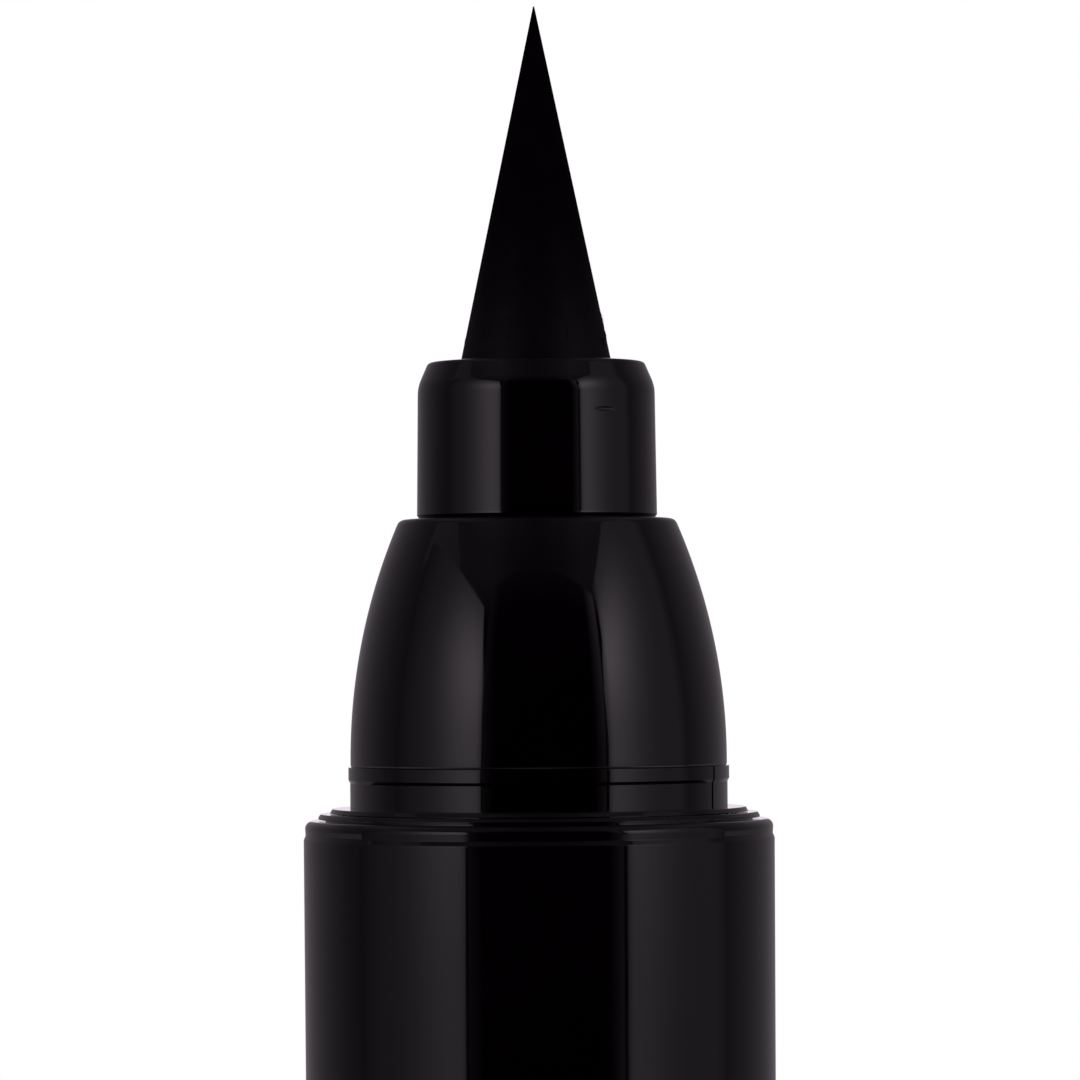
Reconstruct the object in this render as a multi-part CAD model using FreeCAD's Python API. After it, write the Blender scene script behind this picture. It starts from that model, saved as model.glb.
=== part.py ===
# A liquid eyeliner pen, stood on end with its fibre tip up and its cap pushed onto the tail.
# The barrel is a glossy sleeve over an ink tank. A comb-like collector in the front section
# holds the ink that warmth drives out of the tank, and a wick carries ink to the tip.
# Lengths are in millimetres. The origin is the middle of the cap's closed end, and +Z points to the tip.
import FreeCAD, Part
import math
import os

# Fits
press_gap = 0.02
slide_gap = 0.06
stop_gap = 0.05
rim_gap = 0.1
overrun = 1.0

# Barrel
barrel_length = 92.0
barrel_mouth_radius = 5.0
barrel_swell = 0.05
barrel_swell_length = 16.0
barrel_wall = 0.75
barrel_mouth_round = 0.17
barrel_tail_round = 0.1
lip_height = 0.287
lip_step = 0.02
lip_shoulder_height = 0.05

# Ink tank, whose rim shows as the lower thin ring
tank_gap = 0.08
tank_wall = 0.6
tank_rim_inset = 0.314
tank_rim_height = 0.142
tank_rim_draft = 0.02
tank_rim_round = 0.06
tank_rim_undercut = 0.015
tank_rim_overhang = 0.15

# Front section: the upper thin ring, the neck, the snap bead and the bell
flange_inset = 0.246
flange_height = 0.107
flange_draft = 0.035
flange_round = 0.05
flange_undercut = 0.011
neck_inset = 0.432
neck_height = 0.556
bead_proud = 0.036
bead_height = 0.329
bead_chamfer_height = 0.053
bell_height = 5.241
bell_land_height = 0.13
bell_step = 0.01
bell_ledge = 0.376
bell_top_round = 0.18
skirt_length = 18.0
skirt_wall = 0.6
chamber_rise = 0.9
section_ledge_thickness = 0.6
parting_line_width = 0.08
parting_line_depth = 0.03
parting_line_angle = 65.2

# Seal ring round the skirt
seal_drop = 3.0
seal_section_radius = 0.2
seal_squeeze = 0.04

# Nozzle
nozzle_height = 3.331
nozzle_overhang = 0.279
nozzle_draft = 0.03
nozzle_crown_height = 0.7
nozzle_crown_bend = 0.85
nozzle_crown_slope = 23.5
nozzle_top_round = 0.117
nozzle_shank_wall = 0.35
nozzle_mouth_depth = 2.6
vent_groove_radius = 0.16
vent_groove_count = 4

# Fibre tip
tip_length = 7.581
tip_radius = 1.603
tip_point_radius = 0.016
tip_root_lip = 0.3
tip_root_height = 0.6
tip_socket_depth = 1.6

# Sleeve that holds the tip's root up
sleeve_slot_width = 0.5

# Wick
wick_radius = 0.75
wick_reach = 1.5
wick_vent = 0.3

# Collector
collector_core_wall = 0.55
collector_disc_height = 0.8
collector_fin_count = 14
collector_fin_share = 0.42
collector_air_slot_width = 0.8
collector_ink_slit_width = 0.2

# Tank plug and mixing ball
tank_plug_flange_height = 0.8
tank_plug_height = 2.2
ball_radius = 1.5
ball_dish_depth = 0.5

# Tail plug
tail_plug_depth = 6.0
tail_plug_wall = 0.9
tail_end_wall = 0.8
tail_end_round = 0.45

# Cap
cap_length = 34.0
cap_taper = 0.12
cap_ceiling = 1.2
cap_end_round = 0.5
cap_rim_round = 0.08
cap_shell_wall = 0.45
cap_sleeve_bore_gap = 0.118
rim_recess_gap = 0.067
snap_gap = 0.015
snap_rib_height = 0.24
ridge_depth = 4.6
ridge_height = 0.3
ridge_width = 0.3
ridge_clear = 0.45

# Inner cap
inner_cap_gap = 0.075
inner_cap_wall = 0.55
inner_cap_flange_height = 0.9
inner_cap_end_wall = 0.7
tip_room = 0.9
inner_seal_width = 0.7
inner_seal_height = 0.5
inner_seal_proud = 0.1

# Cap spring
spring_wire_radius = 0.2
spring_coil_radius = 2.3
spring_turns = 7
spring_boss_height = 1.2

# Radii that follow, from the outside in
barrel_grip_radius = barrel_mouth_radius - barrel_swell
barrel_bore = barrel_mouth_radius - barrel_wall
tank_radius = barrel_bore - tank_gap
tank_bore = tank_radius - tank_wall
tank_rim_radius = barrel_mouth_radius - tank_rim_inset
flange_radius = tank_rim_radius - flange_inset
neck_radius = flange_radius - neck_inset
bead_radius = neck_radius + bead_proud
skirt_radius = tank_bore - press_gap
chamber_radius = skirt_radius - skirt_wall

# Radii that follow, from the tip outwards
root_radius = tip_radius + tip_root_lip
shank_bore = root_radius + press_gap
shank_radius = shank_bore + nozzle_shank_wall
nozzle_radius = shank_radius + nozzle_overhang
nozzle_wall_top_radius = nozzle_radius - nozzle_draft
bell_bore = shank_radius + press_gap
bell_top_radius = nozzle_radius + bell_ledge
bell_base_radius = neck_radius - bell_step
wick_hole = wick_radius + press_gap

# Cap radii that follow from the neck, which the cap's inside fits
cap_mouth_radius = barrel_mouth_radius
cap_end_radius = cap_mouth_radius - cap_taper
cap_shell_bore = cap_mouth_radius - cap_shell_wall
cap_recess_radius = tank_rim_radius + rim_recess_gap
cap_sleeve_bore = bead_radius + cap_sleeve_bore_gap
cap_sleeve_radius = cap_shell_bore - press_gap
snap_rib_radius = bead_radius + snap_gap
ridge_radius = cap_sleeve_bore - ridge_width
inner_cap_bore = nozzle_radius + inner_cap_gap
inner_cap_radius = inner_cap_bore + inner_cap_wall
inner_cap_flange_radius = cap_sleeve_bore - slide_gap

# Heights that follow
cap_rim_z = cap_length
tail_z = cap_rim_z + rim_gap
mouth_z = tail_z + barrel_length
tank_rim_z = mouth_z + tank_rim_height
flange_z = tank_rim_z + flange_height
bead_bottom_z = flange_z + neck_height
bead_top_z = bead_bottom_z + bead_height
bell_top_z = bead_top_z + bell_height
nozzle_top_z = bell_top_z + nozzle_height
tip_z = nozzle_top_z + tip_length
chamber_z = mouth_z + chamber_rise
section_ledge_z = chamber_z + section_ledge_thickness
skirt_end_z = mouth_z - skirt_length
root_top_z = nozzle_top_z - nozzle_mouth_depth
root_bottom_z = root_top_z - tip_root_height
wick_top_z = root_bottom_z + tip_socket_depth - press_gap
wick_bottom_z = skirt_end_z - wick_reach
tank_plug_z = tail_z + tail_plug_depth
tank_bottom_z = tank_plug_z + tank_plug_flange_height
tank_plug_top_z = tank_bottom_z + tank_plug_height
ball_z = tank_plug_top_z - ball_dish_depth + slide_gap + ball_radius
ball_travel = wick_bottom_z - stop_gap - ball_radius - ball_z
rings_height = tank_rim_height + flange_height
snap_depth = rings_height + neck_height / 2 - rim_gap
spigot_length = ridge_depth - ridge_clear
spigot_end_z = tail_z - spigot_length
recess_depth = rings_height + stop_gap - rim_gap
sleeve_top_z = cap_rim_z - recess_depth
ridge_bottom_z = cap_rim_z - ridge_depth - ridge_height
inner_cap_top_z = ridge_bottom_z - stop_gap
inner_cap_bore_depth = nozzle_height + tip_length + tip_room
inner_cap_floor_z = inner_cap_top_z - inner_cap_bore_depth
inner_cap_end_z = inner_cap_floor_z - inner_cap_end_wall
capped_push = bell_top_z - mouth_z - rim_gap - (cap_rim_z - inner_cap_top_z - inner_seal_proud)
spring_boss_radius = spring_coil_radius - spring_wire_radius - slide_gap


# Shared shapes
def point(radius, z):
    return FreeCAD.Vector(radius, 0, z)


def turned(*outline):
    """A solid turned about the pen's axis. An outline item is a point (radius, z), or a pair of
    points for an arc: one that it passes through and the one where it ends."""
    edges = []
    here = point(*outline[0])
    for item in outline[1:] + outline[:1]:
        if isinstance(item[0], tuple):
            middle, end = point(*item[0]), point(*item[1])
            edges.append(Part.Arc(here, middle, end).toShape())
        else:
            end = point(*item)
            edges.append(Part.LineSegment(here, end).toShape())
        here = end
    face = Part.Face(Part.Wire(edges))
    return face.revolve(FreeCAD.Vector(0, 0, 0), FreeCAD.Vector(0, 0, 1), 360)


def tube(outer, inner, bottom_z, top_z):
    return turned((inner, bottom_z), (outer, bottom_z), (outer, top_z), (inner, top_z))


def rod(radius, bottom_z, top_z):
    return Part.makeCylinder(radius, top_z - bottom_z, FreeCAD.Vector(0, 0, bottom_z))


def block(x, y, z, x_size, y_size, z_size):
    """A box centred on x and y that stands on z."""
    corner = FreeCAD.Vector(x - x_size / 2, y - y_size / 2, z)
    return Part.makeBox(x_size, y_size, z_size, corner)


def leaning_arc(base_radius, base_z, top_radius, top_z):
    """An outline arc that leaves an upright wall smoothly and leans in to its end."""
    rise, lean = top_z - base_z, base_radius - top_radius
    bend = (rise**2 + lean**2) / (2 * lean)
    half_angle = math.asin(rise / bend) / 2
    middle_radius = base_radius - bend * (1 - math.cos(half_angle))
    return (middle_radius, base_z + bend * math.sin(half_angle)), (top_radius, top_z)


def round_edges(solid, radius, *places):
    """Rounds the solid's circular edges that lie at the given (radius, z) places."""
    picked = []
    for edge in solid.Edges:
        box = edge.BoundBox
        for edge_radius, z in places:
            if math.isclose(box.XMax, edge_radius, abs_tol=press_gap) and math.isclose(
                box.Center.z, z, abs_tol=press_gap
            ):
                picked.append(edge)
    return solid.makeFillet(radius, picked)


# Pen body
def barrel():
    """A straight sleeve that swells slightly towards its rounded mouth, with a shallow step under the lip."""
    step_z = mouth_z - lip_height
    lip_radius = barrel_mouth_radius - lip_step
    shell = turned(
        (barrel_bore, tail_z),
        (barrel_grip_radius, tail_z),
        (barrel_grip_radius, mouth_z - barrel_swell_length),
        (barrel_mouth_radius, step_z - lip_shoulder_height),
        (lip_radius, step_z),
        (lip_radius, mouth_z),
        (barrel_bore, mouth_z),
    )
    shell = round_edges(shell, barrel_mouth_round, (lip_radius, mouth_z))
    return round_edges(shell, barrel_tail_round, (barrel_grip_radius, tail_z))


def ink_tank():
    """A tube whose rim sits on the barrel's mouth, drafted on its side and undercut at its edge."""
    lip_z = mouth_z + tank_rim_undercut
    seat_radius = tank_rim_radius - tank_rim_overhang
    top_radius = tank_rim_radius - tank_rim_draft
    body = turned(
        (tank_bore, tank_bottom_z),
        (tank_radius, tank_bottom_z),
        (tank_radius, mouth_z),
        (seat_radius, mouth_z),
        (seat_radius, lip_z),
        (tank_rim_radius, lip_z),
        (top_radius, tank_rim_z),
        (tank_bore, tank_rim_z),
    )
    return round_edges(body, tank_rim_round, (top_radius, tank_rim_z))


def tank_plug():
    """A flanged plug in the tank's lower end, with a dish that the ball rests in."""
    flange = rod(tank_radius, tank_plug_z, tank_bottom_z)
    plug = rod(tank_bore - press_gap, tank_bottom_z, tank_plug_top_z)
    dish = Part.makeSphere(ball_radius + slide_gap, FreeCAD.Vector(0, 0, ball_z))
    return flange.fuse(plug).cut(dish).removeSplitter()


def mixing_ball():
    return Part.makeSphere(ball_radius, FreeCAD.Vector(0, 0, ball_z))


def bead_outline():
    """The neck, the snap bead with its sloped lower side and the land that the bell starts from."""
    return (
        (neck_radius, bead_bottom_z),
        (bead_radius, bead_bottom_z + bead_chamfer_height),
        (bead_radius, bead_top_z - bell_step),
        (bell_base_radius, bead_top_z),
        (bell_base_radius, bead_top_z + bell_land_height),
    )


def front_section():
    """The bell-shaped front with its snap bead, neck and flange, and the skirt that holds the collector."""
    lip_z = tank_rim_z + flange_undercut
    seal_z = mouth_z - seal_drop
    groove_radius = tank_bore - 2 * seal_section_radius + seal_squeeze
    flange_top_radius = flange_radius - flange_draft
    body = turned(
        (chamber_radius, skirt_end_z),
        (skirt_radius, skirt_end_z),
        (skirt_radius, seal_z - seal_section_radius),
        (groove_radius, seal_z - seal_section_radius),
        (groove_radius, seal_z + seal_section_radius),
        (skirt_radius, seal_z + seal_section_radius),
        (skirt_radius, tank_rim_z),
        (neck_radius, tank_rim_z),
        (neck_radius, lip_z),
        (flange_radius, lip_z),
        (flange_top_radius, flange_z),
        (neck_radius, flange_z),
        *bead_outline(),
        leaning_arc(bell_base_radius, bead_top_z + bell_land_height, bell_top_radius, bell_top_z),
        (bell_bore, bell_top_z),
        (bell_bore, section_ledge_z),
        (wick_radius + wick_vent, section_ledge_z),
        (wick_radius + wick_vent, chamber_z),
        (chamber_radius, chamber_z),
    )
    body = round_edges(body, bell_top_round, (bell_top_radius, bell_top_z))
    body = round_edges(body, flange_round, (flange_top_radius, flange_z))
    line_height = bead_top_z - flange_z
    for turn in (0, 180):
        line = block(neck_radius + bead_proud, 0, flange_z,
                     2 * (bead_proud + parting_line_depth), parting_line_width, line_height)
        line.rotate(FreeCAD.Vector(0, 0, 0), FreeCAD.Vector(0, 0, 1), parting_line_angle - 90 + turn)
        body = body.cut(line)
    return body


def section_seal():
    """A rubber ring in the skirt's groove, flattened where it meets the tank."""
    centre = tank_bore - seal_section_radius + seal_squeeze
    ring = Part.makeTorus(centre, seal_section_radius, FreeCAD.Vector(0, 0, mouth_z - seal_drop))
    bottom_z = mouth_z - seal_drop - seal_section_radius
    inner = tank_bore - 2 * seal_section_radius + seal_squeeze + press_gap
    room = tube(tank_bore - press_gap, inner, bottom_z, bottom_z + 2 * seal_section_radius)
    return ring.common(room)


def collector():
    """A wick tube with round fins between two discs. A wide slot vents the fins and a slit feeds them."""
    fin_radius = chamber_radius - press_gap
    core_radius = wick_hole + collector_core_wall
    first_gap_z = skirt_end_z + collector_disc_height
    last_gap_z = chamber_z - collector_disc_height
    pitch = (last_gap_z - first_gap_z) / (collector_fin_count + 1)
    fin = pitch * collector_fin_share
    outline = [(wick_hole, skirt_end_z), (fin_radius, skirt_end_z), (fin_radius, first_gap_z)]
    for number in range(1, collector_fin_count + 1):
        middle_z = first_gap_z + number * pitch
        outline += [
            (core_radius, outline[-1][1]),
            (core_radius, middle_z - fin / 2),
            (fin_radius, middle_z - fin / 2),
            (fin_radius, middle_z + fin / 2),
        ]
    outline += [
        (core_radius, outline[-1][1]),
        (core_radius, last_gap_z),
        (fin_radius, last_gap_z),
        (fin_radius, chamber_z),
        (wick_hole, chamber_z),
    ]
    comb = turned(*outline)
    comb_height = last_gap_z - first_gap_z
    air_slot = block(0, core_radius + fin_radius / 2, first_gap_z,
                     collector_air_slot_width, fin_radius, comb_height + collector_disc_height + overrun)
    ink_slit = block(0, -wick_hole - fin_radius / 2, first_gap_z,
                     collector_ink_slit_width, fin_radius, comb_height)
    return comb.cut(air_slot).cut(ink_slit)


def wick():
    return rod(wick_radius, wick_bottom_z, wick_top_z)


def tip_sleeve():
    """A slotted tube between the front section's ledge and the root of the tip."""
    body = tube(root_radius, wick_hole, section_ledge_z, root_bottom_z)
    height = root_bottom_z - section_ledge_z
    slot = block(0, root_radius / 2, section_ledge_z, sleeve_slot_width, root_radius, height)
    return body.cut(slot)


def nozzle():
    """The tip's holder: a drafted cylinder with a sloped crown, and a shank pressed into the bell."""
    slope = math.radians(nozzle_crown_slope)
    crown_z = nozzle_top_z - nozzle_crown_height
    cone_z = crown_z + nozzle_crown_bend * math.sin(slope)
    cone_radius = nozzle_wall_top_radius - nozzle_crown_bend * (1 - math.cos(slope))
    top_radius = cone_radius - (nozzle_top_z - cone_z) * math.tan(slope)
    body = turned(
        (shank_bore, section_ledge_z),
        (shank_radius, section_ledge_z),
        (shank_radius, bell_top_z),
        (nozzle_radius, bell_top_z),
        (nozzle_wall_top_radius, crown_z),
        leaning_arc(nozzle_wall_top_radius, crown_z, cone_radius, cone_z),
        (top_radius, nozzle_top_z),
        (tip_radius + press_gap, nozzle_top_z),
        (tip_radius + press_gap, root_top_z),
        (shank_bore, root_top_z),
    )
    body = round_edges(body, nozzle_top_round, (top_radius, nozzle_top_z))
    for number in range(vent_groove_count):
        groove = rod(vent_groove_radius, root_top_z, nozzle_top_z + overrun)
        groove.translate(FreeCAD.Vector(tip_radius + press_gap, 0, 0))
        groove.rotate(FreeCAD.Vector(0, 0, 0), FreeCAD.Vector(0, 0, 1), 360 * number / vent_groove_count)
        body = body.cut(groove)
    return body


def fibre_tip():
    """A cone of bonded fibres with a blunted point, a stem, a welded root and a socket for the wick."""
    shoulder_z = tip_z - tip_point_radius
    turn = math.sin(math.pi / 4)
    return turned(
        (wick_hole, root_bottom_z),
        (root_radius, root_bottom_z),
        (root_radius, root_top_z),
        (tip_radius, root_top_z),
        (tip_radius, nozzle_top_z),
        (tip_point_radius, shoulder_z),
        ((tip_point_radius * turn, shoulder_z + tip_point_radius * turn), (0, tip_z)),
        (0, root_bottom_z + tip_socket_depth),
        (wick_hole, root_bottom_z + tip_socket_depth),
    )


def tail_plug():
    """A hollow plug that closes the barrel's tail. Its stub repeats the neck and bead, for the cap."""
    flange_bottom_z = tail_z - rings_height
    bead_z = flange_bottom_z - neck_height
    half_bead = bead_height / 2
    plug_radius = barrel_bore - press_gap
    bore = plug_radius - tail_plug_wall
    floor_z = spigot_end_z + tail_end_wall
    body = turned(
        (0, spigot_end_z),
        (neck_radius, spigot_end_z),
        (neck_radius, bead_z - bead_height),
        ((bead_radius, bead_z - half_bead), (neck_radius, bead_z)),
        (neck_radius, flange_bottom_z),
        (tank_rim_radius, flange_bottom_z),
        (tank_rim_radius, tail_z),
        (plug_radius, tail_z),
        (plug_radius, tank_plug_z),
        (bore, tank_plug_z),
        (bore, floor_z),
        (0, floor_z),
    )
    return round_edges(body, tail_end_round, (neck_radius, spigot_end_z))


# Cap
def cap_shell():
    """A tapered cup. Its rim is recessed for the pen's two thin rings, and a boss centres the spring."""
    shell = turned(
        (0, 0),
        (cap_end_radius, 0),
        (cap_mouth_radius, cap_rim_z),
        (cap_recess_radius, cap_rim_z),
        (cap_recess_radius, sleeve_top_z),
        (cap_shell_bore, sleeve_top_z),
        (cap_shell_bore, cap_ceiling),
        (spring_boss_radius, cap_ceiling),
        (spring_boss_radius, cap_ceiling + spring_boss_height),
        (0, cap_ceiling + spring_boss_height),
    )
    shell = round_edges(shell, cap_end_round, (cap_end_radius, 0))
    return round_edges(shell, cap_rim_round, (cap_mouth_radius, cap_rim_z))


def cap_sleeve():
    """The cap's lining, with the rib that snaps behind the bead and the ridge that stops the inner cap."""
    rib_z = cap_rim_z - snap_depth
    half_rib = snap_rib_height / 2
    ridge_top_z = cap_rim_z - ridge_depth
    return turned(
        (cap_sleeve_bore, cap_ceiling),
        (cap_sleeve_radius, cap_ceiling),
        (cap_sleeve_radius, sleeve_top_z),
        (cap_sleeve_bore, sleeve_top_z),
        (cap_sleeve_bore, rib_z + half_rib),
        ((snap_rib_radius, rib_z), (cap_sleeve_bore, rib_z - half_rib)),
        (cap_sleeve_bore, ridge_top_z),
        (ridge_radius, ridge_top_z),
        (ridge_radius, ridge_bottom_z),
        (cap_sleeve_bore, ridge_bottom_z),
    )


def inner_cap():
    """The cup that closes round the nozzle, with a flange that slides in the lining and a spring boss."""
    flange_bottom_z = inner_cap_top_z - inner_cap_flange_height
    seal_seat_z = inner_cap_top_z + inner_seal_proud - inner_seal_height
    seal_radius = inner_cap_bore + inner_seal_width + press_gap
    return turned(
        (0, inner_cap_end_z - spring_boss_height),
        (spring_boss_radius, inner_cap_end_z - spring_boss_height),
        (spring_boss_radius, inner_cap_end_z),
        (inner_cap_radius, inner_cap_end_z),
        (inner_cap_radius, flange_bottom_z),
        (inner_cap_flange_radius, flange_bottom_z),
        (inner_cap_flange_radius, inner_cap_top_z),
        (seal_radius, inner_cap_top_z),
        (seal_radius, seal_seat_z),
        (inner_cap_bore, seal_seat_z),
        (inner_cap_bore, inner_cap_floor_z),
        (0, inner_cap_floor_z),
    )


def inner_cap_seal():
    top_z = inner_cap_top_z + inner_seal_proud
    return tube(inner_cap_bore + inner_seal_width, inner_cap_bore, top_z - inner_seal_height, top_z)


def cap_spring():
    """A round-wire coil from the cap's closed end to the inner cap, made of quarter-turn arcs."""
    bottom_z = cap_ceiling + spring_wire_radius
    rise = inner_cap_end_z - spring_wire_radius - bottom_z

    def on_coil(eighths):
        angle = eighths * math.pi / 4
        z = bottom_z + rise * eighths / (8 * spring_turns)
        return FreeCAD.Vector(spring_coil_radius * math.cos(angle), spring_coil_radius * math.sin(angle), z)

    arcs = []
    for start in range(0, 8 * spring_turns, 2):
        arcs.append(Part.Arc(on_coil(start), on_coil(start + 1), on_coil(start + 2)).toShape())
    path = Part.Wire(arcs)
    start = on_coil(0)
    along = arcs[0].tangentAt(arcs[0].FirstParameter)
    section = Part.Wire(Part.Circle(start, along, spring_wire_radius).toShape())
    return path.makePipeShell([section], True, False)


pieces = {
    "barrel": barrel,
    "ink_tank": ink_tank,
    "tank_plug": tank_plug,
    "mixing_ball": mixing_ball,
    "front_section": front_section,
    "section_seal": section_seal,
    "collector": collector,
    "wick": wick,
    "tip_sleeve": tip_sleeve,
    "nozzle": nozzle,
    "fibre_tip": fibre_tip,
    "tail_plug": tail_plug,
    "cap_shell": cap_shell,
    "cap_sleeve": cap_sleeve,
    "inner_cap": inner_cap,
    "inner_cap_seal": inner_cap_seal,
    "cap_spring": cap_spring,
}

os.makedirs("parts", exist_ok=True)
for name, make in pieces.items():
    solid = make()
    solid.exportStep(f"parts/{name}.step")
    print(name, "valid", solid.isValid(), "solids", len(solid.Solids), "volume", round(solid.Volume, 4))
print("ball travel", round(ball_travel, 3), "inner cap's push when capped", round(capped_push, 3))
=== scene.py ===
import math
import random

import bpy
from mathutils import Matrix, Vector


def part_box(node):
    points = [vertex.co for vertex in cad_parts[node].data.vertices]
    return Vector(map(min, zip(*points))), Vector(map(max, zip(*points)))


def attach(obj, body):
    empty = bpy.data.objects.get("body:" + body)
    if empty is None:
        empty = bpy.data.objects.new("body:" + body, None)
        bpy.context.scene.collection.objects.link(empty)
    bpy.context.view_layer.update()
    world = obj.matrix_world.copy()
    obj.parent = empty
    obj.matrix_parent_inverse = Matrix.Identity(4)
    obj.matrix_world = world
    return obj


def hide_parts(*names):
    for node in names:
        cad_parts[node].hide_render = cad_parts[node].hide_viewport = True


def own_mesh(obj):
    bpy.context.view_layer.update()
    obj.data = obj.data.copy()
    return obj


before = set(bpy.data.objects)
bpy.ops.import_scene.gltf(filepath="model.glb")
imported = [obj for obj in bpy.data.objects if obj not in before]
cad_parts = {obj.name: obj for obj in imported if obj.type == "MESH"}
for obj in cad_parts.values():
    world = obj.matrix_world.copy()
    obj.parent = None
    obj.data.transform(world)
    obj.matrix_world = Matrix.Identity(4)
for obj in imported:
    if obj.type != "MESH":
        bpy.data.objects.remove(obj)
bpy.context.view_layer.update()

# A liquid eyeliner pen, dressed for the studio. Lengths are in metres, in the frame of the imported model.
mm = 0.001

# Places that the frame gives
tail_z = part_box("barrel")[0].z
mouth_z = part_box("barrel")[1].z
barrel_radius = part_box("barrel")[1].x
tank_bottom_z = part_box("ink_tank")[0].z
rim_top_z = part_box("ink_tank")[1].z
rim_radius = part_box("ink_tank")[1].x
skirt_end_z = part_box("front_section")[0].z
bell_top_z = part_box("front_section")[1].z
flange_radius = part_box("front_section")[1].x
ledge_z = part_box("nozzle")[0].z
nozzle_top_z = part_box("nozzle")[1].z
nozzle_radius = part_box("nozzle")[1].x
root_bottom_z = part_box("fibre_tip")[0].z
tip_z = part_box("fibre_tip")[1].z
root_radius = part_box("fibre_tip")[1].x
spigot_end_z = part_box("tail_plug")[0].z
plug_top_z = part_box("tail_plug")[1].z
cap_rim_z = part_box("cap_shell")[1].z
cap_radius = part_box("cap_shell")[1].x
sleeve_top_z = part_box("cap_sleeve")[1].z

# Pen sizes, as in the part's source
press_gap = 0.02 * mm
barrel_swell = 0.05 * mm
barrel_swell_length = 16.0 * mm
barrel_wall = 0.75 * mm
barrel_mouth_round = 0.17 * mm
barrel_tail_round = 0.1 * mm
lip_height = 0.287 * mm
lip_step = 0.02 * mm
tank_gap = 0.08 * mm
tank_wall = 0.6 * mm
rim_undercut = 0.03 * mm
rim_overhang = 0.15 * mm
flange_height = 0.107 * mm
flange_undercut = 0.011 * mm
neck_inset = 0.432 * mm
neck_height = 0.556 * mm
bead_proud = 0.036 * mm
bead_height = 0.329 * mm
bead_chamfer_height = 0.053 * mm
bell_land = 0.13 * mm
bell_step = 0.01 * mm
bell_ledge = 0.376 * mm
bell_top_round = 0.18 * mm
skirt_wall = 0.6 * mm
chamber_rise = 0.9 * mm
seal_drop = 3.0 * mm
seal_section_radius = 0.2 * mm
seal_squeeze = 0.04 * mm
parting_line_width = 0.08 * mm
parting_line_depth = 0.03 * mm
parting_line_angle = math.radians(65.2)
wick_radius = 0.75 * mm
wick_vent = 0.3 * mm
shank_wall = 0.35 * mm
nozzle_draft = 0.03 * mm
crown_height = 0.7 * mm
crown_bend = 0.85 * mm
crown_slope = math.radians(23.5)
crown_top_round = 0.117 * mm
mouth_depth = 2.6 * mm
vent_radius = 0.16 * mm
vent_count = 4
tip_radius = 1.603 * mm
tip_point_radius = 0.016 * mm
tip_steps = 44
socket_depth = 1.6 * mm
plug_wall = 0.9 * mm
plug_end_wall = 0.8 * mm
plug_end_round = 0.45 * mm
cap_taper = 0.12 * mm
cap_wall = 0.45 * mm
cap_ceiling = 1.2 * mm
cap_end_round = 0.5 * mm
cap_rim_round = 0.08 * mm
rim_recess_gap = 0.067 * mm
boss_radius = 2.04 * mm
boss_height = 1.2 * mm

# Radii and heights that follow
barrel_bore = barrel_radius - barrel_wall
tank_radius = barrel_bore - tank_gap
tank_bore = tank_radius - tank_wall
skirt_radius = tank_bore - press_gap
chamber_radius = skirt_radius - skirt_wall
neck_radius = flange_radius - neck_inset
bead_radius = neck_radius + bead_proud
bell_base_radius = neck_radius - bell_step
bell_top_radius = nozzle_radius + bell_ledge
shank_bore = root_radius + press_gap
shank_radius = shank_bore + shank_wall
bell_bore = shank_radius + press_gap
wall_top_radius = nozzle_radius - nozzle_draft
wick_hole = wick_radius + press_gap
flange_z = rim_top_z + flange_height
bead_bottom_z = flange_z + neck_height
bead_top_z = bead_bottom_z + bead_height
chamber_z = mouth_z + chamber_rise
crown_z = nozzle_top_z - crown_height
root_top_z = nozzle_top_z - mouth_depth
rings_height = flange_z - mouth_z

# Finish sizes that show only up close
edge_round = 0.02 * mm
fine_round = 0.008 * mm
sharp_round = 0.004 * mm
holding_ring = 0.015 * mm
lip_slope_foot = 0.125 * mm
lip_slope_top = 0.025 * mm
lip_flare = 0.02 * mm
rim_side = 0.04 * mm
rim_lean = 0.05 * mm
ring_top_round = 0.03 * mm
bead_foot_drop = 0.014 * mm
bead_groove_depth = 0.012 * mm
bead_groove_height = 0.035 * mm
foot_relief = 0.05 * mm
foot_relief_height = 0.085 * mm
foot_flare = 0.004 * mm
foot_flare_height = 0.035 * mm
gate_angle = math.radians(34.6)
gate_z = mouth_z + 8.629 * mm
gate_width = 0.85 * mm
gate_height = 0.11 * mm
gate_depth = 0.05 * mm
gate_band = 0.08 * mm
strand_radius = 0.011 * mm
stray_count = 42
tuft_share = 0.6
tuft_angle = math.radians(86)
tuft_spread = math.radians(22)
strand_sides = 6
strand_steps = 6
strand_taper = 0.82
strand_curl = 1.7
film_height = 4 * mm
fibre_relief = 0.004 * mm
felt_relief = 0.01 * mm
rubber_relief = 0.003 * mm
wave_depth = 0.004 * mm
mark_depth = 0.0006 * mm

# How finely the pieces are made
around = 256
bell_steps = 28
crown_steps = 10
point_steps = 5
arc_step = math.radians(9)
straight_turn = math.radians(1)
holding_turn = math.radians(2)
smooth_angle = math.radians(25)
fillet_share = 0.65
merge_distance = 1e-7


# Modelling helpers
def deselect():
    """Leaves edit mode and deselects everything."""
    if bpy.context.object and bpy.context.object.mode != "OBJECT":
        bpy.ops.object.mode_set(mode="OBJECT")
    bpy.ops.object.select_all(action="DESELECT")


def arc(centre, radius, start, end, steps):
    """Outline points on an arc about a centre (radius, z), between two angles, ends included."""
    points = []
    for number in range(steps + 1):
        angle = start + (end - start) * number / steps
        points.append((centre[0] + radius * math.cos(angle), centre[1] + radius * math.sin(angle)))
    return points


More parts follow.
